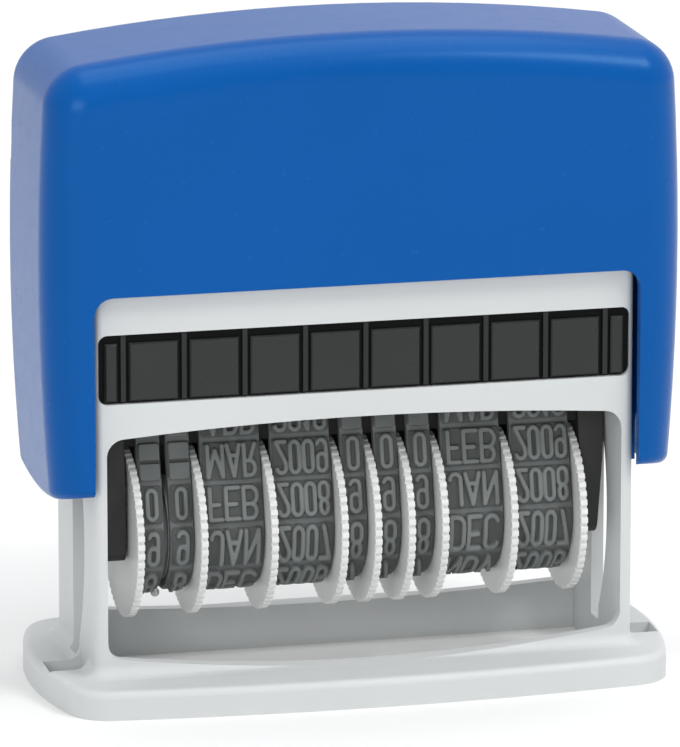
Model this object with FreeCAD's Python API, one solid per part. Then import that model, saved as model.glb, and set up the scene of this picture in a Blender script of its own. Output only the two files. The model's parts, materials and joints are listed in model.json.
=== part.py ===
import FreeCAD, Part
import math
import os

V = FreeCAD.Vector

# Self-inking double date stamp. Millimetres, +Z up, front towards -Y.
# The origin is the centre of the base's underside.

# Base plate
base_half_x = 35.6
base_ledge_x = 5.2
base_half_y = 17.7
base_bulge = 2.1
base_end_bulge = 2.9
base_corner_r = 5.0
base_h = 3.25
base_top_r = 0.9
pocket_depth = 1.2
pocket_front_y = 6.2
pocket_len_y = 4.0
pocket_gap = 0.9

# Frame housing
frame_half_x = base_half_x - base_ledge_x
frame_half_y = 10.4
frame_wall = 1.4
bay_head = 8.3
frame_edge_r = 1.0
foot_fillet_r = 1.5
spring_post_h = 2.0
slot_above_base = 0.4

# Windows in the front and back of the frame
window_below_bay = 2.85
window_top_drop = 1.2
window_corner_r = 2.0
front_lip_z = 3.3
back_lip_z = 4.8
lip_rise_front = 2.1
lip_rise_back = 1.0

# Ink cassette and its bay
bay_floor_z = 33.95
bay_h = 7.75
bay_mouth_side = 0.53
bay_corner_r = 1.0
cassette_gap = 0.1
cassette_side_gap = 0.25
block_count = 8
blocks_across = 8.795
block_gap_x = 1.2
block_top_gap = 0.85
block_low_gap = 0.15
block_raise = 0.45
block_chamfer = 0.22
ridge_w = 0.55
ridge_raise = 0.35
pad_end_wall = 2.6
pad_half_y = 6.2
pad_h = 5.0
pad_side_gap = 0.1
pad_corner_r = 1.0

# Sliding cap
crown_room = 6.95
cap_top_r = 220.0
cap_reach_x = 5.47
cap_mid_above_pivot = 21.875
cap_shoulder_in = 0.85
cap_foot_in = 1.28
cap_foot_below_pivot = 5.125
cap_gap_y = 0.3
cap_wall = 1.3
cap_corner_r = 5.0
cap_edge_r = 4.5
leg_below_pivot = 0.575
leg_bottom_drop = 2.2
leg_bottom_r = 1.2
cutout_above_bay = 4.5
cutout_corner_r = 2.1
cutout_side_gap = 0.2
rib_gap = 0.6
rib_t = 1.6
rib_half_y = 3.2
rib_below_pivot = 2.925
web_half_y = 0.6
web_above_pivot = 1.875

# Date unit: axle, head, bands and the pivot that it flips about
travel = 16.5
axle_drop = 14.5
axle_r = 1.0
axle_seat = 1.6
hub_line_r = 6.3
head_line_r = 1.0
head_flat_half = 1.9
band_inner = 0.45
band_outer = 0.4
block_top = 0.6
type_top = 1.0
positions = 12
row_gap = 0.55
print_gap = 0.25
print_floor_gap = 0.05
band_clear = 0.15
bar_above_pivot = 2.275
pivot_r = 1.3
pivot_clear = 0.05
pin_r = 1.0
pin_offset = 3.4
pin_end_gap = 0.2
slot_clear = 0.25

# Row of bands and wheels across the unit
wheel_r = 9.72
wheel_t = 0.8
tooth_count = 60
tooth_depth = 0.38
tooth_flat = 0.55
tooth_ramp = 0.15
side_gap = 0.2
narrow_band = 2.6
day_gap = 0.7
hub_clear = 0.05
divider_t = 0.3
divider_r = 5.9
nub_r = 0.5
nub_clear = 0.05

# End arms
arm_t = 2.95
arm_gap = 0.3
arm_wall_gap = 0.3
arm_half_y = 5.0
arm_top_half_y = 3.0
arm_below_axle = 2.5
arm_neck_rise = 6.3
arm_below_bay = 1.35
arm_taper = 1.0
arm_corner_r = 1.2

# Return springs
spring_inset = 12.4
spring_r = 3.2
spring_wire_r = 0.35
spring_turns = 6
spring_seat_gap = 0.15
spring_seat_t = 0.5
post_gap = 0.4
cap_post_h = 1.5

# Worked out from the sizes above
inner_x = frame_half_x - frame_wall
inner_y = frame_half_y - frame_wall
bay_mouth_half_x = frame_half_x - bay_mouth_side
panel_half_x = bay_mouth_half_x - cassette_gap
block_pitch = 2 * panel_half_x / blocks_across
pad_half_x = inner_x - pad_end_wall
spring_x = frame_half_x - spring_inset
cap_half_x = frame_half_x + cap_reach_x
cap_shoulder_x = cap_half_x - cap_shoulder_in
cap_foot_x = cap_half_x - cap_foot_in
cap_half_y = frame_half_y + cap_gap_y + cap_wall
bay_top_z = bay_floor_z + bay_h
frame_top_z = bay_top_z + bay_head
cutout_top_z = bay_top_z + cutout_above_bay
window_top_z = bay_floor_z - window_below_bay
arm_top_z = bay_floor_z - arm_below_bay
cap_top_z = frame_top_z + travel + crown_room
arm_outer_x = inner_x - arm_wall_gap
arm_inner_x = arm_outer_x - arm_t
row_half_x = arm_inner_x - arm_gap
print_z = bay_floor_z - print_gap
head_line_z = print_z - type_top - head_line_r
axle_z = head_line_z - axle_drop
arm_bottom_z = axle_z - arm_below_axle
arm_neck_z = axle_z + arm_neck_rise
flip_r = (print_z - travel - print_floor_gap) / 2
pivot_z = print_z - flip_r
rib_bottom_z = pivot_z - rib_below_pivot
leg_bottom_z = pivot_z - leg_below_pivot
web_bottom_z = pivot_z + web_above_pivot
cap_foot_z = pivot_z - cap_foot_below_pivot
cap_mid_z = pivot_z + cap_mid_above_pivot
bar_bottom_z = pivot_z + bar_above_pivot
rib_x = frame_half_x + rib_gap
slot_half = pivot_r + slot_clear
pin_slot_half = pin_r + slot_clear
# How far a cutting body runs past what it cuts: out of the way, and just past a face
far = 100.0
past = 1.0
tiny = 0.01


def extrude(edges, vector):
    return Part.Face(Part.Wire(edges)).extrude(vector)


def arc(a, b, c):
    return Part.Arc(V(*a), V(*b), V(*c)).toShape()


def line(a, b):
    return Part.makeLine(V(*a), V(*b))


def box(x0, x1, y0, y1, z0, z1):
    return Part.makeBox(x1 - x0, y1 - y0, z1 - z0, V(x0, y0, z0))


def along(shape, axis):
    """The straight edges of a shape that run along an axis."""
    picked = []
    for edge in shape.Edges:
        run = edge.Vertexes[-1].Point - edge.Vertexes[0].Point
        if run.Length > tiny and abs(run.normalize().dot(axis)) > 0.999:
            picked.append(edge)
    return picked


def rod(radius, x0, x1, y, z):
    return Part.makeCylinder(radius, x1 - x0, V(x0, y, z), V(1, 0, 0))


def export(name, shape):
    shape.exportStep("parts/" + name + ".step")


# Frame


def base_plate():
    x = base_half_x - base_end_bulge
    y = base_half_y - base_bulge
    edges = [
        arc((-x, -y, 0), (0, -base_half_y, 0), (x, -y, 0)),
        arc((x, -y, 0), (base_half_x, 0, 0), (x, y, 0)),
        arc((x, y, 0), (0, base_half_y, 0), (-x, y, 0)),
        arc((-x, y, 0), (-base_half_x, 0, 0), (-x, -y, 0)),
    ]
    plate = extrude(edges, V(0, 0, base_h))
    plate = plate.makeFillet(base_corner_r, along(plate, V(0, 0, 1)))
    rim = [e for e in plate.Edges if min(v.Z for v in e.Vertexes) > base_h - tiny]
    return plate.makeFillet(base_top_r, rim)


def window_cut(lip_z, lip_rise, y0, y1):
    """A window with an arched top edge and a lip that dips in the middle."""
    x = inner_x
    top = window_top_z - window_top_drop
    low = lip_z + lip_rise
    edges = [
        arc((-x, y0, low), (0, y0, lip_z), (x, y0, low)),
        line((x, y0, low), (x, y0, top)),
        arc((x, y0, top), (0, y0, window_top_z), (-x, y0, top)),
        line((-x, y0, top), (-x, y0, low)),
    ]
    cut = extrude(edges, V(0, y1 - y0, 0))
    return cut.makeFillet(window_corner_r, along(cut, V(0, 1, 0)))


def pin_path(turn):
    """Where the flip pin is, as (y, z), when the unit has turned by an angle."""
    drop = travel * turn / math.pi
    return -pin_offset * math.sin(turn), pivot_z - drop + pin_offset * math.cos(turn)


def cam_slot(x0, x1):
    """The side slot: a straight channel for the pivot stub, with a bulge in front that leads
    the flip pin."""
    steps = 12
    front = []
    for i in range(steps + 1):
        turn = math.pi * i / steps
        y, z = pin_path(turn)
        ya, za = pin_path(turn - tiny)
        yb, zb = pin_path(turn + tiny)
        share = pin_slot_half / math.hypot(yb - ya, zb - za)
        front.append(V(x0, y + share * (zb - za), z - share * (yb - ya)))
    curve = Part.BSplineCurve()
    curve.interpolate(front)
    upper = V(x0, 0, front[0].z)
    lower = V(x0, 0, front[-1].z)
    edges = [
        curve.toShape(),
        Part.makeLine(front[-1], lower),
        Part.makeLine(lower, upper),
        Part.makeLine(upper, front[0]),
    ]
    bulge = extrude(edges, V(x1 - x0, 0, 0))
    low = base_h + slot_above_base
    high = pin_path(0)[1] + pin_slot_half
    return bulge.fuse(box(x0, x1, -slot_half, slot_half, low, high))


def frame():
    shell = box(-frame_half_x, frame_half_x, -frame_half_y, frame_half_y, 0, frame_top_z)
    shell = shell.makeFillet(frame_edge_r, along(shell, V(0, 0, 1)))
    body = shell.fuse(base_plate()).removeSplitter()
    foot = []
    for edge in body.Edges:
        b = edge.BoundBox
        flat = abs(b.ZMin - base_h) < tiny and abs(b.ZMax - base_h) < tiny
        if flat and b.YMax - b.YMin < tiny and abs(abs(b.YMin) - frame_half_y) < tiny:
            foot.append(edge)
    body = body.makeFillet(foot_fillet_r, foot)
    top = frame_top_z - frame_wall
    body = body.cut(box(-inner_x, inner_x, -inner_y, inner_y, -past, top))
    body = body.cut(window_cut(front_lip_z, lip_rise_front, -far, 0))
    body = body.cut(window_cut(back_lip_z, lip_rise_back, 0, far))
    mouth_y = frame_half_y - frame_wall - cassette_gap
    mouth = box(-bay_mouth_half_x, bay_mouth_half_x, -far, -mouth_y, bay_floor_z, bay_top_z)
    mouth = mouth.makeFillet(bay_corner_r, along(mouth, V(0, 1, 0)))
    body = body.cut(mouth)
    rear_x = inner_x - cassette_gap
    body = body.cut(box(-rear_x, rear_x, 0, far, bay_floor_z, bay_top_z))
    for side in (-1, 1):
        x0 = min(side * (inner_x - past), side * (frame_half_x + past))
        body = body.cut(cam_slot(x0, x0 + frame_wall + 2 * past))
        post_r = spring_r - spring_wire_r - post_gap
        post = Part.makeCylinder(post_r, spring_post_h, V(side * spring_x, 0, frame_top_z))
        body = body.fuse(post)
        near_x = side * frame_half_x
        far_x = side * (base_half_x - pocket_gap)
        rear_y = pocket_len_y - pocket_front_y
        low, high = min(near_x, far_x), max(near_x, far_x)
        floor_z = base_h - pocket_depth
        body = body.cut(box(low, high, -pocket_front_y, rear_y, floor_z, far))
    return body.removeSplitter()


# Cap


def cap_slab(inset):
    """The cap's outer form, moved in by an inset all round, rounded towards front and back,
    and flat below."""
    radius = cap_top_r - inset
    corner_x = cap_shoulder_x - inset
    centre_z = cap_top_z - cap_top_r
    corner_z = centre_z + math.sqrt(radius ** 2 - corner_x ** 2)
    foot_x = cap_foot_x - inset
    mid_x = cap_half_x - inset
    half_y = cap_half_y - inset
    y = -half_y
    edges = [
        line((-foot_x, y, cap_foot_z), (foot_x, y, cap_foot_z)),
        arc((foot_x, y, cap_foot_z), (mid_x, y, cap_mid_z), (corner_x, y, corner_z)),
        arc((corner_x, y, corner_z), (0, y, cap_top_z - inset), (-corner_x, y, corner_z)),
        arc((-corner_x, y, corner_z), (-mid_x, y, cap_mid_z), (-foot_x, y, cap_foot_z)),
    ]
    slab = extrude(edges, V(0, 2 * half_y, 0))
    top_corners = [e for e in along(slab, V(0, 1, 0)) if e.BoundBox.ZMin > cap_mid_z]
    slab = slab.makeFillet(cap_corner_r - inset, top_corners)
    rims = []
    for edge in slab.Edges:
        b = edge.BoundBox
        on_face = b.YMax - b.YMin < tiny and abs(abs(b.YMin) - half_y) < tiny
        if on_face and b.ZMax > cap_foot_z + tiny:
            rims.append(edge)
    return slab.makeFillet(cap_edge_r - inset, rims)


def cap():
    y = cap_half_y + past
    low = leg_bottom_z - far
    under = [
        arc((-far, -y, leg_bottom_z), (-far, 0, leg_bottom_z - leg_bottom_drop), (-far, y, leg_bottom_z)),
        line((-far, y, leg_bottom_z), (-far, y, low)),
        line((-far, y, low), (-far, -y, low)),
        line((-far, -y, low), (-far, -y, leg_bottom_z)),
    ]
    below = extrude(under, V(2 * far, 0, 0))
    outer = cap_slab(0).cut(below)
    bottom = [e for e in outer.Edges if e.BoundBox.ZMax < leg_bottom_z + tiny]
    outer = outer.makeFillet(leg_bottom_r, bottom)
    hollow = cap_slab(cap_wall)
    body = outer.cut(hollow)
    for side in (-1, 1):
        x0 = min(side * rib_x, side * (rib_x + rib_t))
        rib = box(x0, x0 + rib_t, -rib_half_y, rib_half_y, rib_bottom_z, cap_top_z)
        x0 = min(side * rib_x, side * cap_half_x)
        web = box(x0, x0 + cap_half_x - rib_x, -web_half_y, web_half_y, web_bottom_z, cap_top_z)
        hole = rod(pivot_r + pivot_clear, x0 - far, x0 + far, 0, pivot_z)
        inside = outer.common(rib.fuse(web)).cut(hole)
        seat_z = spring_top_z()
        post_r = spring_r - spring_wire_r - post_gap
        post = Part.makeCylinder(post_r, far, V(side * spring_x, 0, seat_z - cap_post_h))
        ring_r = spring_r + spring_wire_r
        seat = Part.makeCylinder(ring_r, far, V(side * spring_x, 0, seat_z))
        body = body.fuse(inside.fuse(outer.common(post.fuse(seat))))
    cutout_x = frame_half_x + cutout_side_gap
    cutout = box(-cutout_x, cutout_x, -far, far, cap_foot_z - far, cutout_top_z)
    cutout = cutout.makeFillet(cutout_corner_r, along(cutout, V(0, 1, 0)))
    keep = box(-rib_x - far, rib_x + far, -rib_half_y, rib_half_y, -far, far)
    return body.cut(cutout.cut(keep)).cut(below).removeSplitter()


def spring_top_z():
    """The height of the spring seat under the cap's crown."""
    crown = cap_top_z - cap_top_r + math.sqrt(cap_top_r ** 2 - (spring_x + spring_r) ** 2)
    return crown - cap_wall - spring_seat_t


# Ink cassette


def cassette_span():
    """The cassette's low and high Z, and its front and rear Y."""
    low = bay_floor_z + cassette_gap
    high = bay_top_z - cassette_gap
    return low, high, -frame_half_y + cassette_gap, frame_half_y - cassette_gap


def front_blocks(plane_y, face_y):
    """Raised square blocks and thin ridges on a face of the cassette."""
    low, high, _, _ = cassette_span()
    z0 = low + block_low_gap
    z1 = high - block_top_gap
    first = -block_count * block_pitch / 2
    edge_gap = block_gap_x / 2
    spans = [(-panel_half_x + edge_gap, first - edge_gap)]
    for i in range(block_count):
        x = first + i * block_pitch
        spans.append((x + edge_gap, x + block_pitch - edge_gap))
    spans.append((-first + edge_gap, panel_half_x - edge_gap))
    made = []
    for x0, x1 in spans:
        block = box(x0, x1, face_y, plane_y, z0, z1)
        rim = [e for e in block.Edges if e.BoundBox.YMax < face_y + tiny]
        made.append(block.makeChamfer(block_chamfer, rim))
    for i in range(block_count + 1):
        x = first + i * block_pitch
        ridge_y = plane_y - ridge_raise
        made.append(box(x - ridge_w / 2, x + ridge_w / 2, ridge_y, plane_y, z0, high))
    return made


def pad_cassette():
    low, high, front, rear = cassette_span()
    plane = front + block_raise
    body_x = inner_x - cassette_side_gap
    panel_back = -(frame_half_y - frame_wall) + cassette_gap
    panel = box(-panel_half_x, panel_half_x, plane, panel_back, low, high)
    panel = panel.makeFillet(bay_corner_r - cassette_gap, along(panel, V(0, 1, 0)))
    inside = box(-body_x, body_x, panel_back, rear, low, high)
    body = panel.fuse(inside)
    for block in front_blocks(plane, front):
        body = body.fuse(block)
    cavity = box(-pad_half_x, pad_half_x, -pad_half_y, pad_half_y, low - past, low + pad_h)
    return body.cut(cavity).removeSplitter()


def ink_pad():
    low = cassette_span()[0]
    x = pad_half_x - pad_side_gap
    y = pad_half_y - pad_side_gap
    pad = box(-x, x, -y, y, low, low + pad_h - pad_side_gap)
    return pad.makeFillet(pad_corner_r, along(pad, V(0, 0, 1)))


# Bands: a loop round the wheel's hub below and the narrow head above


def loop_shape():
    """Angles and points of the neutral line of a band."""
    dy = head_flat_half
    dz = head_line_z - axle_z
    gap = math.hypot(dy, dz)
    tilt = math.asin((hub_line_r - head_line_r) / gap) - math.atan2(dy, dz)
    run = math.sqrt(gap ** 2 - (hub_line_r - head_line_r) ** 2)
    return tilt, run


def loop_length():
    tilt, run = loop_shape()
    hub = (math.pi + 2 * tilt) * hub_line_r
    corners = 2 * (math.pi / 2 - tilt) * head_line_r
    return hub + 2 * run + corners + 2 * head_flat_half


def loop_point(s):
    """Point and outward direction, as (y, z, ny, nz), s along the loop from the top centre
    towards the front."""
    tilt, run = loop_shape()
    s = s % loop_length()
    mirrored = s > loop_length() / 2
    if mirrored:
        s = loop_length() - s
    turn_top = math.pi / 2 - tilt
    if s < head_flat_half:
        y, z, ny, nz = -s, head_line_z + head_line_r, 0.0, 1.0
    elif s < head_flat_half + turn_top * head_line_r:
        a = (s - head_flat_half) / head_line_r
        ny, nz = -math.sin(a), math.cos(a)
        y = -head_flat_half + head_line_r * ny
        z = head_line_z + head_line_r * nz
    elif s < head_flat_half + turn_top * head_line_r + run:
        d = s - head_flat_half - turn_top * head_line_r
        ny, nz = -math.cos(tilt), math.sin(tilt)
        y = -head_flat_half + head_line_r * ny - d * math.sin(tilt)
        z = head_line_z + head_line_r * nz - d * math.cos(tilt)
    else:
        a = turn_top + (s - head_flat_half - turn_top * head_line_r - run) / hub_line_r
        ny, nz = -math.sin(a), math.cos(a)
        y = hub_line_r * ny
        z = axle_z + hub_line_r * nz
    if mirrored:
        y, ny = -y, -ny
    return y, z, ny, nz


def loop_solid(offset, x0, x1):
    """The band's loop, offset outwards from its neutral line, filled, from x0 to x1."""
    tilt, _ = loop_shape()
    hub = hub_line_r + offset
    head = head_line_r + offset
    c, s = math.cos(tilt), math.sin(tilt)
    half = math.pi / 4 - tilt / 2
    ch, sh = math.cos(math.pi / 2 - half), math.sin(math.pi / 2 - half)

    def at(y, z):
        return (x0, y, z)

    low_l = at(-hub * c, axle_z + hub * s)
    low_r = at(hub * c, axle_z + hub * s)
    up_l = at(-head_flat_half - head * c, head_line_z + head * s)
    up_r = at(head_flat_half + head * c, head_line_z + head * s)
    mid_l = at(-head_flat_half - head * ch, head_line_z + head * sh)
    mid_r = at(head_flat_half + head * ch, head_line_z + head * sh)
    top_l = at(-head_flat_half, head_line_z + head)
    top_r = at(head_flat_half, head_line_z + head)
    edges = [
        arc(low_l, at(0, axle_z - hub), low_r),
        line(low_r, up_r),
        arc(up_r, mid_r, top_r),
        line(top_r, top_l),
        arc(top_l, mid_l, up_l),
        line(up_l, low_l),
    ]
    return extrude(edges, V(x1 - x0, 0, 0))


def band(x0, x1):
    """A rubber band with a raised block for each row."""
    body = loop_solid(block_top, x0, x1).cut(loop_solid(-band_inner, x0 - past, x1 + past))
    pitch = loop_length() / positions
    for i in range(positions):
        y, z, ny, nz = loop_point((i + 0.5) * pitch)
        groove = box(x0 - past, x1 + past, -row_gap / 2, row_gap / 2, band_outer, band_outer + past)
        groove.rotate(V(0, 0, 0), V(1, 0, 0), math.degrees(math.atan2(-ny, nz)))
        groove.translate(V(0, y, z))
        body = body.cut(groove)
    return body


def wheel_outline(x):
    """The knurled rim of a setting wheel: one flat tooth and one notch per step."""
    points = []
    for i in range(tooth_count):
        ramp_end = tooth_flat + tooth_ramp
        for share, r in (
            (0, wheel_r),
            (tooth_flat, wheel_r),
            (ramp_end, wheel_r - tooth_depth),
            (1 - tooth_ramp, wheel_r - tooth_depth),
        ):
            a = 2 * math.pi * (i + share) / tooth_count
            points.append(V(x, r * math.sin(a), axle_z + r * math.cos(a)))
    return Part.makePolygon(points + [points[0]])


def setting_wheel(x, hub_x0, hub_x1):
    """A wheel whose disc starts at x, with a hub under its band."""
    disc = Part.Face(wheel_outline(x)).extrude(V(wheel_t, 0, 0))
    hub = rod(hub_line_r - band_inner - band_clear, hub_x0, hub_x1, 0, axle_z)
    bore = rod(axle_r + hub_clear, hub_x0 - far, hub_x1 + far, 0, axle_z)
    return disc.fuse(hub).cut(bore).removeSplitter()


def row_layout():
    """Each band's name and span, and each wheel's disc start and hub span, left to right.
    The four wide bands share the width that the rest leaves."""
    narrow = narrow_band
    after_days = [
        ("month_band_left", False),
        ("year_band_left", False),
        ("number_band_1", True),
        ("number_band_2", True),
        ("number_band_3", True),
        ("month_band_right", False),
        ("year_band_right", False),
    ]
    days = 2 * wheel_t + 2 * side_gap + 2 * narrow + day_gap
    narrow_count = sum(is_narrow for _, is_narrow in after_days)
    room = 2 * row_half_x - days - len(after_days) * (2 * side_gap + wheel_t)
    wide = (room - narrow_count * narrow) / (len(after_days) - narrow_count)
    x = -row_half_x
    first_band = x + wheel_t + side_gap
    second_band = first_band + narrow + day_gap
    bands = [
        ("day_tens_band", first_band, first_band + narrow),
        ("day_units_band", second_band, second_band + narrow),
    ]
    wheels = [
        (x, x, first_band + narrow),
        (x + days - wheel_t, second_band, x + days),
    ]
    divider_x = first_band + narrow + day_gap / 2
    x += days
    for name, is_narrow in after_days:
        width = narrow if is_narrow else wide
        start = x + side_gap
        disc = start + width + side_gap
        bands.append((name, start, start + width))
        wheels.append((disc, start, disc + wheel_t))
        x = disc + wheel_t
    return bands, wheels, divider_x


def day_divider(x):
    """A thin white washer between the two day bands, with a small round nub."""
    x0 = x - divider_t / 2
    plate = rod(divider_r, x0, x0 + divider_t, 0, axle_z)
    reach = hub_line_r + block_top + nub_clear + nub_r
    nub = Part.makeSphere(nub_r, V(x, 0, axle_z - reach))
    arm = box(x0, x0 + divider_t, -nub_r, nub_r, axle_z - reach, axle_z - divider_r + past)
    bore = rod(axle_r + hub_clear, x - past, x + past, 0, axle_z)
    return plate.fuse(arm).fuse(nub).cut(bore).removeSplitter()


def end_arm(side):
    """An arm of the date unit with its pivot stub and flip pin, at one end."""
    inner, outer = arm_inner_x, arm_outer_x
    w, n = arm_half_y, arm_top_half_y
    outline = [
        V(0, -w, arm_bottom_z),
        V(0, w, arm_bottom_z),
        V(0, w, arm_neck_z),
        V(0, n, arm_top_z),
        V(0, -n, arm_top_z),
        V(0, -w, arm_neck_z),
        V(0, -w, arm_bottom_z),
    ]
    plate = Part.Face(Part.makePolygon(outline)).extrude(V(outer, 0, 0))
    plate = plate.makeFillet(arm_corner_r, along(plate, V(1, 0, 0)))
    inside = box(-past, inner, -far, far, 0, far)
    taper_z = pivot_z + 2 * pivot_r
    low_z = arm_bottom_z - arm_corner_r
    wedge = [
        V(outer - arm_taper, -far, low_z),
        V(outer + past, -far, low_z),
        V(outer + past, -far, taper_z),
        V(outer, -far, taper_z),
        V(outer - arm_taper, -far, low_z),
    ]
    plate = plate.cut(inside)
    plate = plate.cut(Part.Face(Part.makePolygon(wedge)).extrude(V(0, 2 * far, 0)))
    stub = rod(pivot_r, inner + past, rib_x + rib_t, 0, pivot_z)
    pin = rod(pin_r, inner + past, frame_half_x - pin_end_gap, 0, pivot_z + pin_offset)
    seat = rod(axle_r + hub_clear, inner - past, inner + axle_seat, 0, axle_z)
    arm = plate.fuse(stub).fuse(pin).cut(seat).removeSplitter()
    if side < 0:
        arm = arm.mirror(V(0, 0, 0), V(1, 0, 0))
    return arm


def head_bar(half):
    bar = loop_solid(-band_inner - band_clear, -half, half)
    return bar.common(box(-half, half, -far, far, bar_bottom_z, far))


def return_spring(side):
    """An open helix of wire from the frame's top to the cap's crown."""
    low = frame_top_z + spring_seat_gap + spring_wire_r
    high = spring_top_z() - spring_seat_gap - spring_wire_r
    pitch = (high - low) / spring_turns
    helix = Part.makeHelix(pitch, high - low, spring_r - spring_wire_r)
    start = V(spring_r - spring_wire_r, 0, 0)
    section = Part.Wire(Part.makeCircle(spring_wire_r, start, V(0, 1, pitch / (2 * math.pi * spring_r))))
    spring = Part.Wire(helix).makePipeShell([section], True, True)
    spring.translate(V(side * spring_x, 0, low))
    return spring


def build():
    os.makedirs("parts", exist_ok=True)
    export("frame", frame())
    export("cap", cap())
    export("pad_cassette", pad_cassette())
    export("ink_pad", ink_pad())
    bands, wheels, divider_x = row_layout()
    export("end_arm_left", end_arm(-1))
    export("end_arm_right", end_arm(1))
    export("head_bar", head_bar(arm_inner_x))
    reach = arm_inner_x + axle_seat - hub_clear
    export("wheel_axle", rod(axle_r, -reach, reach, 0, axle_z))
    export("day_divider", day_divider(divider_x))
    for name, x0, x1 in bands:
        export(name, band(x0, x1))
    for i, (x, hub_x0, hub_x1) in enumerate(wheels):
        export("setting_wheel_%d" % (i + 1), setting_wheel(x, hub_x0, hub_x1))
    export("return_spring_left", return_spring(-1))
    export("return_spring_right", return_spring(1))


build()
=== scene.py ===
import json
import math

import bmesh
import bpy
import numpy as np
from mathutils import Matrix, Vector


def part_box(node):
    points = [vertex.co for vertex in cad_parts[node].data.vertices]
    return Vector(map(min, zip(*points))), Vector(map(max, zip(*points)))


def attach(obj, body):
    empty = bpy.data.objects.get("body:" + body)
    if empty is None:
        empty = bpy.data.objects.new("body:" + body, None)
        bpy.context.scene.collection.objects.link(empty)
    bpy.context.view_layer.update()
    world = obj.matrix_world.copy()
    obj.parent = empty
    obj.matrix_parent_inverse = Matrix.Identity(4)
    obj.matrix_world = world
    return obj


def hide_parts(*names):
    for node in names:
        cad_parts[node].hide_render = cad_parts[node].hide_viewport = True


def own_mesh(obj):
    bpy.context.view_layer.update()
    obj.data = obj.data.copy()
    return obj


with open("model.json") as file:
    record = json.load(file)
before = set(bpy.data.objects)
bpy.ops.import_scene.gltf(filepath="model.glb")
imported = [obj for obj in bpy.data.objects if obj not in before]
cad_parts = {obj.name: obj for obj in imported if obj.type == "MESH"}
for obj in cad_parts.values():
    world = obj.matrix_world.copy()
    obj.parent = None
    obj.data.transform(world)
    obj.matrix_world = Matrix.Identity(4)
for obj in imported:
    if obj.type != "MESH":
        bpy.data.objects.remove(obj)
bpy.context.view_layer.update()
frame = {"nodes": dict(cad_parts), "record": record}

MM = 0.001

# Sizes in millimetres that repeat those of the part's source
axle_z = 17.2
hub_line_r = 6.3
head_line_r = 1.0
head_line_z = 31.7
head_flat_half = 1.9
band_inner = 0.45
band_outer = 0.4
block_top = 0.6
type_top = 1.0
positions = 12
row_gap = 0.55
nub_z = 10.3
groove_depth = 0.45
spring_wire_r = 0.35
spring_turns = 6
wheel_count = 9

# Raised type on the bands
cell = 0.1
row_reach = 0.6
stroke_r = 0.19
letter_step = 0.56
slope_w = 0.16
block_edge = 0.12
block_corner_r = 0.35
# Painted shade of the belt between the blocks, from 0 at the block faces to 1 at the raised type
painted_belt_shade = 0.6
blank_top = 0.9
blank_line = 0.75
first_year = 2011

# Soft edges of the CAD nodes: millimetres, and degrees from which an edge is rounded
EDGE_WIDTHS = {
    "frame": 0.12,
    "cap": 0.12,
    "pad_cassette": 0.08,
    "ink_pad": 0.1,
    "end_arm_left": 0.15,
    "end_arm_right": 0.15,
    "head_bar": 0,
    "wheel_axle": 0,
    "day_divider": 0.05,
}
wheel_edge = 0.04
edge_angle = 28.0
flat_angle = 0.3
weld_gap = 0.002
crease_angle = 50.0

# Facets of the springs' wire
steps_per_turn = 40
wire_sides = 12

# Lamps: place in metres, width and height, watts
LAMPS = {
    "key": ((0.6, -0.65, 0.95), (0.4, 0.4), 5.0),
    "fill": ((-0.5, -0.95, 0.3), (0.5, 0.35), 2.6),
    "top": ((0.1, 0.0, 1.1), (0.9, 0.7), 4.2),
}
lamp_target = (0, 0, 0.03)

# The light tent's strength low down and high up, and the share of it that is left in front.
# The heights and the front are parts of a direction of length 1.
tent_strengths = (0.42, 0.78)
tent_heights = (-0.4, 0.7)
tent_front_share = 0.4
tent_front_span = (-0.98, -0.55)
tent_color = (0.97, 0.985, 1.0)

# The floor, and how much white it adds to its lit colour where it is seen
floor_half = 1.6
floor_color = (0.86, 0.86, 0.85)
floor_lift = 0.07

# Painted shade in the cassette's grooves: what they keep of the colour and gloss of its faces, and
# where the darkening begins
painted_groove_shade = 0.2
painted_shade_start = 0.02

# Painted shade of the rubber, from the darkest grooves to the lightest faces of the type
painted_rubber_shades = (0.55, 1.35)

# How far the divider's two colours run into each other
nub_blur = 0.05

# Camera, found from points of the photo: millimetres and degrees
view_azimuth = 13.702
view_elevation = 13.7194
view_distance = 848.9
view_shift = (0.4166, -32.4476)
lens_mm = 366.66


# Camera


def make_camera():
    a, e = math.radians(view_azimuth), math.radians(view_elevation)
    right = Vector((math.cos(a), -math.sin(a), 0))
    back = Vector((-math.sin(a) * math.cos(e), -math.cos(a) * math.cos(e), math.sin(e)))
    up = back.cross(right)
    place = back * view_distance - right * view_shift[0] - up * view_shift[1]
    data = bpy.data.cameras.new("camera")
    data.lens = lens_mm
    data.sensor_width = 36.0
    data.clip_start = 0.01
    data.clip_end = 50.0
    camera = bpy.data.objects.new("camera", data)
    turn = Matrix((right, up, back)).transposed().to_4x4()
    camera.matrix_world = Matrix.Translation(place * MM) @ turn
    bpy.context.scene.collection.objects.link(camera)
    bpy.context.scene.camera = camera


# Light, floor and background


def make_lamps():
    for name, (place, size, watts) in LAMPS.items():
        data = bpy.data.lights.new(name, "AREA")
        data.shape = "RECTANGLE"
        data.size, data.size_y = size
        data.energy = watts
        lamp = bpy.data.objects.new(name, data)
        lamp.location = place
        direction = Vector(lamp_target) - Vector(place)
        lamp.rotation_euler = direction.to_track_quat("-Z", "Y").to_euler()
        bpy.context.scene.collection.objects.link(lamp)


def map_range(tree, value, from_span, to_span):
    """A node that takes a value from one span to another."""
    node = tree.nodes.new("ShaderNodeMapRange")
    node.inputs["From Min"].default_value, node.inputs["From Max"].default_value = from_span
    node.inputs["To Min"].default_value, node.inputs["To Max"].default_value = to_span
    tree.links.new(value, node.inputs["Value"])
    return node


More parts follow.
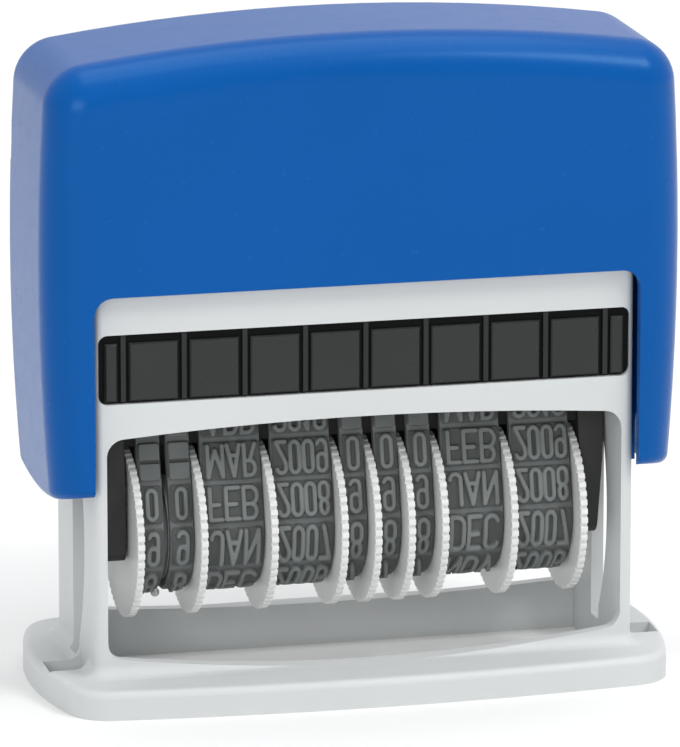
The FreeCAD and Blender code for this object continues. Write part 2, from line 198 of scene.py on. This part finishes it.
def multiply(tree, value, other):
    """The product of a value and another value or a plain number."""
    node = tree.nodes.new("ShaderNodeMath")
    node.operation = "MULTIPLY"
    tree.links.new(value, node.inputs[0])
    if isinstance(other, float):
        node.inputs[1].default_value = other
    else:
        tree.links.new(other, node.inputs[1])
    return node.outputs[0]


def seen_rays(tree):
    """1 for the rays that show a background: from the camera, and by way of gloss or glass."""
    path = tree.nodes.new("ShaderNodeLightPath")
    seen = path.outputs["Is Camera Ray"]
    for name in ("Is Glossy Ray", "Is Transmission Ray"):
        either = tree.nodes.new("ShaderNodeMath")
        either.operation = "MAXIMUM"
        tree.links.new(seen, either.inputs[0])
        tree.links.new(path.outputs[name], either.inputs[1])
        seen = either.outputs[0]
    return seen


def make_world():
    world = bpy.data.worlds.new("studio")
    bpy.context.scene.world = world
    world.use_nodes = True
    tree = world.node_tree
    tree.nodes.clear()
    out = tree.nodes.new("ShaderNodeOutputWorld")
    soft = tree.nodes.new("ShaderNodeBackground")
    # A light tent: bright above and at the sides, darker in front where the camera stands
    coords = tree.nodes.new("ShaderNodeTexCoord")
    split = tree.nodes.new("ShaderNodeSeparateXYZ")
    tree.links.new(coords.outputs["Generated"], split.inputs[0])
    front = map_range(tree, split.outputs["Y"], tent_front_span, (tent_front_share, 1.0))
    front.interpolation_type = "SMOOTHERSTEP"
    height = map_range(tree, split.outputs["Z"], tent_heights, tent_strengths)
    strength = multiply(tree, front.outputs["Result"], height.outputs["Result"])
    tree.links.new(strength, soft.inputs["Strength"])
    soft.inputs["Color"].default_value = (*tent_color, 1)
    white = tree.nodes.new("ShaderNodeBackground")
    white.inputs["Strength"].default_value = 1.0
    mix = tree.nodes.new("ShaderNodeMixShader")
    tree.links.new(seen_rays(tree), mix.inputs[0])
    tree.links.new(soft.outputs[0], mix.inputs[1])
    tree.links.new(white.outputs[0], mix.inputs[2])
    tree.links.new(mix.outputs[0], out.inputs["Surface"])


def make_floor():
    signs = ((-1, -1), (1, -1), (1, 1), (-1, 1))
    mesh = bpy.data.meshes.new("floor")
    mesh.from_pydata([(x * floor_half, y * floor_half, 0) for x, y in signs], [], [(0, 1, 2, 3)])
    floor = bpy.data.objects.new("floor", mesh)
    bpy.context.scene.collection.objects.link(floor)
    material = bpy.data.materials.new("floor_paper")
    material.use_nodes = True
    tree = material.node_tree
    shader = tree.nodes["Principled BSDF"]
    shader.inputs["Base Color"].default_value = (*floor_color, 1)
    shader.inputs["Roughness"].default_value = 0.8
    shader.inputs["Specular IOR Level"].default_value = 0.1
    # The background's white, added where the floor is seen, keeps the shadow in it
    lift = multiply(tree, seen_rays(tree), floor_lift)
    shader.inputs["Emission Color"].default_value = (1, 1, 1, 1)
    tree.links.new(lift, shader.inputs["Emission Strength"])
    mesh.materials.append(material)


# Materials


class Look:
    """A node material built round one Principled shader."""

    def __init__(self, name, color, roughness, specular):
        self.material = bpy.data.materials.new(name)
        self.material.use_nodes = True
        self.tree = self.material.node_tree
        self.shader = self.tree.nodes["Principled BSDF"]
        self.color = color
        self.shader.inputs["Base Color"].default_value = (*color, 1)
        self.shader.inputs["Roughness"].default_value = roughness
        self.shader.inputs["Specular IOR Level"].default_value = specular
        coords = self.tree.nodes.new("ShaderNodeTexCoord")
        self.place = coords.outputs["Object"]

    def along(self, axis):
        """The place of a point along X, Y or Z, in metres."""
        split = self.tree.nodes.new("ShaderNodeSeparateXYZ")
        self.tree.links.new(self.place, split.inputs[0])
        return split.outputs[axis]

    def noise(self, per_metre, detail, stretch=None):
        """A factor from 0 to 1 with so many grains per metre."""
        place = self.place
        if stretch:
            mapping = self.tree.nodes.new("ShaderNodeMapping")
            mapping.inputs["Scale"].default_value = stretch
            self.tree.links.new(place, mapping.inputs["Vector"])
            place = mapping.outputs["Vector"]
        node = self.tree.nodes.new("ShaderNodeTexNoise")
        node.inputs["Scale"].default_value = per_metre
        node.inputs["Detail"].default_value = detail
        self.tree.links.new(place, node.inputs["Vector"])
        return node.outputs["Fac"]

    def tint(self, factor, low, high):
        """Colours the base between two tones by a factor."""
        ramp = self.tree.nodes.new("ShaderNodeValToRGB")
        ramp.color_ramp.elements[0].position = 0.3
        ramp.color_ramp.elements[1].position = 0.7
        ramp.color_ramp.elements[0].color = (*[c * low for c in self.color], 1)
        ramp.color_ramp.elements[1].color = (*[c * high for c in self.color], 1)
        self.tree.links.new(factor, ramp.inputs["Fac"])
        self.tree.links.new(ramp.outputs["Color"], self.shader.inputs["Base Color"])
        return ramp.outputs["Color"]

    def shade(self, color, factor):
        """Makes the base a colour times a factor."""
        product = self.tree.nodes.new("ShaderNodeVectorMath")
        product.operation = "SCALE"
        self.tree.links.new(color, product.inputs[0])
        self.tree.links.new(factor, product.inputs["Scale"])
        self.tree.links.new(product.outputs["Vector"], self.shader.inputs["Base Color"])

    def rough(self, factor, low, high):
        """Sets the roughness between two values by a factor."""
        span = map_range(self.tree, factor, (0, 1), (low, high))
        self.tree.links.new(span.outputs["Result"], self.shader.inputs["Roughness"])

    def bump(self, heights, depth_mm):
        """Adds one or more height factors to the surface, each a fine moulding texture."""
        normal = None
        for height, share in heights:
            node = self.tree.nodes.new("ShaderNodeBump")
            node.inputs["Strength"].default_value = share
            node.inputs["Distance"].default_value = depth_mm * MM
            self.tree.links.new(height, node.inputs["Height"])
            if normal:
                self.tree.links.new(normal, node.inputs["Normal"])
            normal = node.outputs["Normal"]
        self.tree.links.new(normal, self.shader.inputs["Normal"])


def blue_plastic():
    look = Look("blue_plastic", (0.001, 0.083, 0.34), 0.26, 0.25)
    look.shader.inputs["Specular Tint"].default_value = (0.4, 0.75, 1, 1)
    look.tint(look.noise(38, 3), 0.96, 1.04)
    look.rough(look.noise(500, 3), 0.22, 0.3)
    look.bump([(look.noise(60, 1), 0.03), (look.noise(1800, 2), 0.02)], 0.05)
    return look.material


def grey_plastic():
    look = Look("grey_plastic", (0.63, 0.65, 0.65), 0.42, 0.4)
    look.tint(look.noise(45, 3), 0.975, 1.02)
    look.rough(look.noise(900, 3), 0.38, 0.5)
    look.bump([(look.noise(3500, 3), 0.12)], 0.03)
    return look.material


def black_plastic(front_y):
    """Black, with painted shade that darkens colour and gloss from the front faces back into the
    grooves and everything behind them.
    """
    color, specular = (0.019, 0.0215, 0.021), 0.32
    look = Look("black_plastic", color, 0.3, specular)
    tone = look.tint(look.noise(60, 3), 0.9, 1.1)
    # Painted shade: colour and gloss fall with the depth behind the front faces, and stay at their
    # lowest further back
    depths = (front_y + painted_shade_start * MM, front_y + groove_depth * MM)
    painted_depth_shade = map_range(look.tree, look.along("Y"), depths, (1, painted_groove_shade)).outputs["Result"]
    look.shade(tone, painted_depth_shade)
    gloss = multiply(look.tree, painted_depth_shade, specular)
    look.tree.links.new(gloss, look.shader.inputs["Specular IOR Level"])
    look.rough(look.noise(800, 3), 0.24, 0.34)
    look.bump([(look.noise(3000, 3), 0.12)], 0.03)
    return look.material


def dark_plastic():
    look = Look("dark_plastic", (0.026, 0.027, 0.025), 0.5, 0.4)
    look.tint(look.noise(70, 3), 0.88, 1.12)
    look.rough(look.noise(700, 3), 0.45, 0.6)
    look.bump([(look.noise(2500, 3), 0.2)], 0.04)
    return look.material


def wheel_plastic():
    look = Look("wheel_plastic", (0.77, 0.775, 0.765), 0.4, 0.5)
    look.shader.inputs["Subsurface Weight"].default_value = 0.15
    look.shader.inputs["Subsurface Radius"].default_value = (0.001, 0.001, 0.0008)
    look.tint(look.noise(120, 3), 0.96, 1.02)
    look.rough(look.noise(1500, 3), 0.34, 0.48)
    look.bump([(look.noise(3800, 3), 0.12)], 0.03)
    return look.material


def type_rubber():
    look = Look("type_rubber", (0.122, 0.132, 0.130), 0.55, 0.42)
    tone = look.tint(look.noise(260, 4), 0.86, 1.12)
    # Painted shade: an attribute of each band makes the grooves and block faces darker and the
    # raised type lighter
    painted_relief_shade = look.tree.nodes.new("ShaderNodeAttribute")
    painted_relief_shade.attribute_name = "painted_relief_shade"
    faces = map_range(look.tree, painted_relief_shade.outputs["Fac"], (0, 1), painted_rubber_shades)
    look.shade(tone, faces.outputs["Result"])
    look.rough(look.noise(1400, 4), 0.46, 0.64)
    look.bump([(look.noise(2200, 4), 0.25), (look.noise(600, 2), 0.15)], 0.03)
    return look.material


def divider_plastic():
    """Grey as the type down to the rim of the disc, and white at the nub below it."""
    look = Look("divider_plastic", (0.72, 0.72, 0.70), 0.4, 0.5)
    tone = look.tint(look.noise(120, 3), 0.96, 1.02)
    edge = ((nub_z + nub_blur) * MM, (nub_z - nub_blur) * MM)
    low = map_range(look.tree, look.along("Z"), edge, (0, 1))
    mix = look.tree.nodes.new("ShaderNodeMix")
    mix.data_type = "RGBA"
    grey, white, mixed = mix.inputs[6], mix.inputs[7], mix.outputs[2]
    grey.default_value = (0.12, 0.13, 0.133, 1)
    look.tree.links.new(low.outputs["Result"], mix.inputs[0])
    look.tree.links.new(tone, white)
    look.tree.links.new(mixed, look.shader.inputs["Base Color"])
    look.rough(look.noise(1500, 3), 0.34, 0.48)
    return look.material


def ink_felt():
    look = Look("ink_felt", (0.012, 0.012, 0.02), 0.75, 0.3)
    look.tint(look.noise(900, 5), 0.6, 1.5)
    look.rough(look.noise(1500, 4), 0.55, 0.85)
    look.bump([(look.noise(5000, 5), 0.9), (look.noise(1200, 4), 0.5)], 0.12)
    return look.material


def steel():
    look = Look("steel", (0.55, 0.55, 0.56), 0.3, 0.5)
    look.shader.inputs["Metallic"].default_value = 1.0
    look.tint(look.noise(300, 3), 0.92, 1.05)
    look.rough(look.noise(900, 3, (0.1, 8, 8)), 0.22, 0.38)
    look.bump([(look.noise(2500, 3, (0.1, 6, 6)), 0.15)], 0.02)
    return look.material


# The loop that the bands run on


def loop_parts():
    rise = head_line_z - axle_z
    gap = math.hypot(head_flat_half, rise)
    lean = math.asin((hub_line_r - head_line_r) / gap) - math.atan2(head_flat_half, rise)
    run = math.sqrt(gap ** 2 - (hub_line_r - head_line_r) ** 2)
    hub = (math.pi + 2 * lean) * hub_line_r
    corners = 2 * (math.pi / 2 - lean) * head_line_r
    return lean, run, hub + 2 * run + corners + 2 * head_flat_half


lean, run_length, loop_length = loop_parts()
row_pitch = loop_length / positions


def loop_points(s):
    """Points and outward directions (y, z, ny, nz) at lengths s along the band's neutral
    line, from its top centre towards the front."""
    s = np.mod(s, loop_length)
    rear = s > loop_length / 2
    s = np.where(rear, loop_length - s, s)
    turn = (math.pi / 2 - lean) * head_line_r
    bend_end = head_flat_half + turn
    run_end = bend_end + run_length
    angle = np.where(
        s < head_flat_half,
        0,
        np.where(
            s < bend_end,
            (s - head_flat_half) / head_line_r,
            math.pi / 2 - lean + np.maximum(s - run_end, 0) / hub_line_r,
        ),
    )
    ny, nz = -np.sin(angle), np.cos(angle)
    along = np.clip(s - bend_end, 0, run_length)
    y = -np.minimum(s, head_flat_half) + head_line_r * ny - along * math.sin(lean)
    z = head_line_z + head_line_r * nz - along * math.cos(lean)
    on_hub = s > run_end
    y = np.where(on_hub, hub_line_r * ny, y)
    z = np.where(on_hub, axle_z + hub_line_r * nz, z)
    return np.where(rear, -y, y), z, np.where(rear, -ny, ny), nz


# Characters as strokes in a box of width 1 and height 1


def bow(cx, cy, rx, ry, start, end, count=10):
    """Points on part of an ellipse, by angles in degrees."""
    angles = [math.radians(start + (end - start) * i / count) for i in range(count + 1)]
    return [(cx + rx * math.cos(a), cy + ry * math.sin(a)) for a in angles]


def ring(low, high, bend=0.17):
    """A narrow upright ring from low to high with round ends."""
    return [bow(0.5, high - bend, 0.5, bend, 0, 180) + bow(0.5, low + bend, 0.5, bend, 180, 360)
            + [(1, high - bend)]]


GLYPHS = {
    "0": (0.88, ring(0, 1)),
    "1": (0.5, [[(0.1, 0.8), (0.6, 1), (0.6, 0)]]),
    "2": (0.92, [bow(0.5, 0.83, 0.5, 0.17, 165, 0) + [(0.98, 0.66), (0, 0), (1, 0)]]),
    "3": (0.9, [bow(0.48, 0.83, 0.48, 0.17, 160, -80) + [(0.4, 0.54)],
                bow(0.48, 0.23, 0.5, 0.23, 85, -160, 14)]),
    "4": (0.95, [[(0.75, 0), (0.75, 1), (0, 0.3), (1, 0.3)]]),
    "5": (0.9, [[(0.95, 1), (0.12, 1), (0.05, 0.55)]
                + bow(0.48, 0.3, 0.5, 0.3, 125, -160, 16)]),
    "6": (0.9, ring(0, 0.56) + [[(0, 0.3), (0, 0.8)] + bow(0.5, 0.83, 0.5, 0.17, 180, 20)]),
    "7": (0.88, [[(0, 1), (1, 1), (0.3, 0)]]),
    "8": (0.9, ring(0, 0.54, 0.16) + [bow(0.5, 0.77, 0.42, 0.23, -90, 270, 20)]),
    "9": (0.9, ring(0.44, 1) + [[(1, 0.7), (1, 0.2)] + bow(0.5, 0.17, 0.5, 0.17, 0, -160)]),
    "A": (1.1, [[(0, 0), (0.5, 1), (1, 0)], [(0.17, 0.33), (0.83, 0.33)]]),
    "B": (1.0, [[(0, 0), (0, 1), (0.55, 1)] + bow(0.55, 0.77, 0.38, 0.23, 90, -90)
                + [(0, 0.54)],
                [(0.55, 0.54)] + bow(0.55, 0.27, 0.45, 0.27, 90, -90) + [(0, 0)]]),
    "C": (1.0, [bow(0.5, 0.8, 0.5, 0.2, 15, 180) + bow(0.5, 0.2, 0.5, 0.2, 180, 345)]),
    "D": (1.0, [[(0, 0), (0, 1), (0.45, 1)] + bow(0.45, 0.75, 0.55, 0.25, 90, 0)
                + bow(0.45, 0.25, 0.55, 0.25, 0, -90) + [(0, 0)]]),
    "E": (0.95, [[(1, 1), (0, 1), (0, 0), (1, 0)], [(0, 0.52), (0.8, 0.52)]]),
    "F": (0.85, [[(1, 1), (0, 1), (0, 0)], [(0, 0.52), (0.8, 0.52)]]),
    "G": (1.0, [bow(0.5, 0.8, 0.5, 0.2, 15, 180) + bow(0.5, 0.2, 0.5, 0.2, 180, 360)
                + [(1, 0.46), (0.55, 0.46)]]),
    "J": (0.85, [bow(0.5, 0.18, 0.5, 0.18, 180, 360) + [(1, 1)]]),
    "L": (0.85, [[(0, 1), (0, 0), (1, 0)]]),
    "M": (1.35, [[(0, 0), (0, 1), (0.5, 0.15), (1, 1), (1, 0)]]),
    "N": (1.0, [[(0, 0), (0, 1), (1, 0), (1, 1)]]),
    "O": (1.0, ring(0, 1, 0.2)),
    "P": (0.95, [[(0, 0), (0, 1), (0.5, 1)] + bow(0.5, 0.75, 0.5, 0.25, 90, -90)
                 + [(0, 0.5)]]),
    "R": (0.95, [[(0, 0), (0, 1), (0.5, 1)] + bow(0.5, 0.76, 0.48, 0.24, 90, -90)
                 + [(0, 0.52)], [(0.5, 0.52), (1, 0)]]),
    "S": (0.95, [bow(0.5, 0.79, 0.48, 0.21, 20, 230)
                 + bow(0.5, 0.25, 0.5, 0.25, 60, -165, 14)]),
    "T": (1.0, [[(0, 1), (1, 1)], [(0.5, 1), (0.5, 0)]]),
    "U": (1.0, [[(0, 1), (0, 0.2)] + bow(0.5, 0.2, 0.5, 0.2, 180, 360) + [(1, 1)]]),
    "V": (1.0, [[(0, 1), (0.5, 0), (1, 1)]]),
    "Y": (1.05, [[(0, 1), (0.5, 0.45), (1, 1)], [(0.5, 0.45), (0.5, 0)]]),
}


def text_strokes(text, wide, high):
    """Strokes of a short text in millimetres, centred on the row. Several letters share the
    whole width, and a single one takes the part of it that its shape needs."""
    shares = [GLYPHS[c][0] for c in text]
    gaps = letter_step * (len(text) - 1)
    scale = (wide - gaps) / max(sum(shares), 1) if len(text) > 1 else wide
    x = -(sum(shares) * scale + gaps) / 2
    strokes = []
    inner_h = high - 2 * stroke_r
    for c, share in zip(text, shares):
        width = share * scale
        for stroke in GLYPHS[c][1]:
            strokes.append([(x + px * width, (py - 0.5) * inner_h) for px, py in stroke])
        x += width + letter_step
    return strokes


def distance_to(strokes, x, s):
    """How far each point lies from the nearest stroke."""
    best = np.full(x.shape, np.inf)
    for stroke in strokes:
        for (ax, ay), (bx, by) in zip(stroke, stroke[1:]):
            dx, dy = bx - ax, by - ay
            length = max(dx * dx + dy * dy, 1e-9)
            t = np.clip(((x - ax) * dx + (s - ay) * dy) / length, 0, 1)
            best = np.minimum(best, np.hypot(x - ax - t * dx, s - ay - t * dy))
    return best


def smooth(t):
    """A soft step from 0 to 1."""
    t = np.clip(t, 0, 1)
    return t * t * (3 - 2 * t)


def band_mesh(name, x0, x1, rows, wide, high, shift):
    """A closed band whose outer face carries a block and a text for each row, all of them
    shifted along the band."""
    nx = round((x1 - x0) / cell)
    ns = round(loop_length / cell)
    xs = np.linspace(x0, x1, nx + 1)
    ss = np.arange(ns) * loop_length / ns
    grid_x, grid_s = np.meshgrid(xs - (x0 + x1) / 2, ss)
    height = np.full(grid_x.shape, band_outer)
    # Painted shade for each point: the belt, the faces of the blocks and the type each get a tone
    shade = np.full(grid_x.shape, painted_belt_shade)
    half_x = (x1 - x0) / 2 - block_edge
    half_s = (row_pitch - row_gap) / 2
    for k, text in enumerate(rows):
        middle = k * row_pitch + shift
        local = np.mod(grid_s - middle + loop_length / 2, loop_length) - loop_length / 2
        near = np.abs(local) < row_reach * row_pitch
        x, s = grid_x[near], local[near]
        dx = np.abs(x) - half_x + block_corner_r
        ds = np.abs(s) - half_s + block_corner_r
        outside = np.hypot(np.maximum(dx, 0), np.maximum(ds, 0))
        edge = outside + np.minimum(np.maximum(dx, ds), 0) - block_corner_r
        inside = smooth(-edge / slope_w + 0.5)
        block = band_outer + (block_top - band_outer) * inside
        tone = painted_belt_shade * (1 - inside)
        # Painted shade: the raised type lighter than the block's face, and the line cut across a
        # blank block darker
        if text == "-":
            away = np.maximum(np.abs(s), np.abs(x) - blank_line * half_x)
            line = smooth(1.5 - away / slope_w)
            block = band_outer + (blank_top - band_outer) * inside - line * (blank_top - block_top)
            tone = painted_belt_shade * (1 - line)
        else:
            reach = distance_to(text_strokes(text, wide, high), x, s)
            rise = smooth((stroke_r + slope_w - reach) / slope_w)
            block = block + (type_top - block_top) * rise
            tone = np.maximum(tone, rise)
        height[near] = np.maximum(height[near], block)
        shade[near] = np.where(inside > 0, tone, shade[near])
    y, z, ny, nz = loop_points(ss)
    columns = [np.full(ns, -band_inner)]
    columns += [height[:, i] for i in range(nx + 1)]
    columns += [np.full(ns, -band_inner)]
    places = np.concatenate(([x0], xs, [x1]))
    verts = np.empty((ns, nx + 3, 3))
    for i, column in enumerate(columns):
        verts[:, i, 0] = places[i]
        verts[:, i, 1] = y + ny * column
        verts[:, i, 2] = z + nz * column
    n = nx + 3
    row, col = np.meshgrid(np.arange(ns), np.arange(n), indexing="ij")
    next_row, next_col = (row + 1) % ns, (col + 1) % n
    faces = np.stack(
        [row * n + col, next_row * n + col, next_row * n + next_col, row * n + next_col], -1
    )
    mesh = bpy.data.meshes.new(name)
    mesh.from_pydata((verts.reshape(-1, 3) * MM).tolist(), [], faces.reshape(-1, 4).tolist())
    # The painted shade goes on the mesh as an attribute that the rubber's material reads
    painted_relief_shade = np.full((ns, n), painted_belt_shade)
    painted_relief_shade[:, 1:-1] = shade
    mesh.attributes.new("painted_relief_shade", "FLOAT", "POINT").data.foreach_set("value", painted_relief_shade.ravel())
    mesh.update()
    mesh.shade_smooth()
    mesh.set_sharp_from_angle(angle=math.radians(crease_angle))
    return mesh


MONTHS = ["JAN", "FEB", "MAR", "APR", "MAY", "JUN", "JUL", "AUG", "SEP", "OCT", "NOV", "DEC"]


def months(first):
    """Twelve months in falling order, from the one whose number is first."""
    return [MONTHS[(first - 1 - i) % len(MONTHS)] for i in range(positions)]


def digits(zero_row):
    """Rows of a number band: two plain blocks with a line across, then 0, 9, 8 and so on."""
    rows = ["-"] * positions
    for i in range(10):
        rows[(zero_row + i) % positions] = str(-i % 10)
    return rows


YEARS = [str(first_year - i) for i in range(positions)]

# Each band's rows, the width between the outer strokes of a text, the height of a character,
# and how far the rows stand past their place at the head
BAND_ROWS = {
    "day_tens_band": (digits(3), 1.1, 3.6, 0.15),
    "day_units_band": (digits(3), 1.1, 3.6, 0.15),
    "month_band_left": (months(5), 5.3, 3.8, 0.5),
    "year_band_left": (YEARS, 5.6, 3.8, 0.5),
    "number_band_1": (digits(2), 1.2, 3.8, 0.5),
    "number_band_2": (digits(2), 1.2, 3.8, 0.5),
    "number_band_3": (digits(2), 1.2, 3.8, 0.5),
    "month_band_right": (months(4), 5.3, 3.8, 0.5),
    "year_band_right": (YEARS, 5.6, 3.8, 0.5),
}


def add_piece(node, suffix, mesh, material, body):
    """A piece of the scene that rides on a body and stands for a CAD node."""
    piece = bpy.data.objects.new(node + suffix, mesh)
    bpy.context.scene.collection.objects.link(piece)
    piece.data.materials.append(material)
    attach(piece, body)
    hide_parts(node)
    return piece


def make_bands(rubber):
    for node, layout in BAND_ROWS.items():
        low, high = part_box(node)
        mesh = band_mesh(node + "_type", low.x / MM, high.x / MM, *layout)
        add_piece(node, "_type", mesh, rubber, "date_unit")


# Return springs: on the stamp they get shorter as the cap goes down, and here each is a fixed
# helix at the length of its CAD node


def spring_mesh(name, centre_x, mean_r, low_z, high_z):
    """A round wire on a helix, with flat ends."""
    steps, sides = steps_per_turn * spring_turns, wire_sides
    share = np.linspace(0, 1, steps + 1)
    turn = 2 * math.pi * spring_turns * share
    zero = np.zeros_like(turn)
    outward = np.stack([np.cos(turn), np.sin(turn), zero], -1)
    middle = outward * mean_r
    middle[:, 0] += centre_x
    middle[:, 2] = low_z + (high_z - low_z) * share
    rise = (high_z - low_z) / (2 * math.pi * spring_turns * mean_r)
    along = np.stack([-np.sin(turn), np.cos(turn), zero + rise], -1) / math.hypot(1, rise)
    across = np.cross(along, outward)
    around = np.arange(sides) * 2 * math.pi / sides
    section = np.cos(around)[None, :, None] * outward[:, None]
    section = section + np.sin(around)[None, :, None] * across[:, None]
    verts = middle[:, None] + spring_wire_r * section
    faces = [[i * sides + j, i * sides + (j + 1) % sides,
              (i + 1) * sides + (j + 1) % sides, (i + 1) * sides + j]
             for i in range(steps) for j in range(sides)]
    faces.append(list(range(sides))[::-1])
    faces.append([steps * sides + j for j in range(sides)])
    mesh = bpy.data.meshes.new(name)
    mesh.from_pydata((verts.reshape(-1, 3) * MM).tolist(), [], faces)
    bm = bmesh.new()
    bm.from_mesh(mesh)
    bmesh.ops.recalc_face_normals(bm, faces=bm.faces)
    bm.to_mesh(mesh)
    bm.free()
    mesh.shade_smooth()
    mesh.set_sharp_from_angle(angle=math.radians(crease_angle))
    return mesh


def make_springs(metal):
    for node in ("return_spring_left", "return_spring_right"):
        low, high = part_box(node)
        low, high = low / MM, high / MM
        centre_x = (low.x + high.x) / 2
        mean_r = (high.x - low.x) / 2 - spring_wire_r
        ends = (low.z + spring_wire_r, high.z - spring_wire_r)
        mesh = spring_mesh(node + "_wire", centre_x, mean_r, *ends)
        piece = add_piece(node, "_wire", mesh, metal, "frame")
        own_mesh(piece)


# CAD nodes that stay: a material, and soft edges by modifiers


def soften(node, width_mm):
    """Rounds the edges of a node, or keeps them crisp where the width is 0."""
    piece = frame["nodes"][node]
    weld = piece.modifiers.new("weld", "WELD")
    weld.merge_threshold = weld_gap * MM
    plane = piece.modifiers.new("plane", "DECIMATE")
    plane.decimate_type = "DISSOLVE"
    plane.angle_limit = math.radians(flat_angle)
    piece.data.shade_smooth()
    if width_mm:
        bevel = piece.modifiers.new("bevel", "BEVEL")
        bevel.width = width_mm * MM
        bevel.segments = 2
        bevel.limit_method = "ANGLE"
        bevel.angle_limit = math.radians(edge_angle)
    else:
        piece.data.set_sharp_from_angle(angle=math.radians(edge_angle))
    normals = piece.modifiers.new("normals", "WEIGHTED_NORMAL")
    normals.keep_sharp = not width_mm
    normals.weight = 60


def dress_nodes(looks):
    """Gives each CAD node the material that its record names."""
    for row in frame["record"]["subparts"]:
        node = frame["nodes"][row["node"]]
        material = looks[row["material_slot"]]
        if node.data.materials:
            for i in range(len(node.data.materials)):
                node.data.materials[i] = material
        else:
            node.data.materials.append(material)


make_camera()
make_world()
make_floor()
make_lamps()
looks = {
    "blue_plastic": blue_plastic(),
    "grey_plastic": grey_plastic(),
    "black_plastic": black_plastic(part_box("pad_cassette")[0].y),
    "ink_felt": ink_felt(),
    "dark_plastic": dark_plastic(),
    "type_rubber": type_rubber(),
    "wheel_plastic": wheel_plastic(),
    "steel": steel(),
}
dress_nodes(looks)
frame["nodes"]["day_divider"].data.materials[0] = divider_plastic()
make_bands(looks["type_rubber"])
make_springs(looks["steel"])
for node, width in EDGE_WIDTHS.items():
    soften(node, width)
for number in range(1, wheel_count + 1):
    soften("setting_wheel_%d" % number, wheel_edge)

bpy.context.scene.view_settings.view_transform = "Standard"
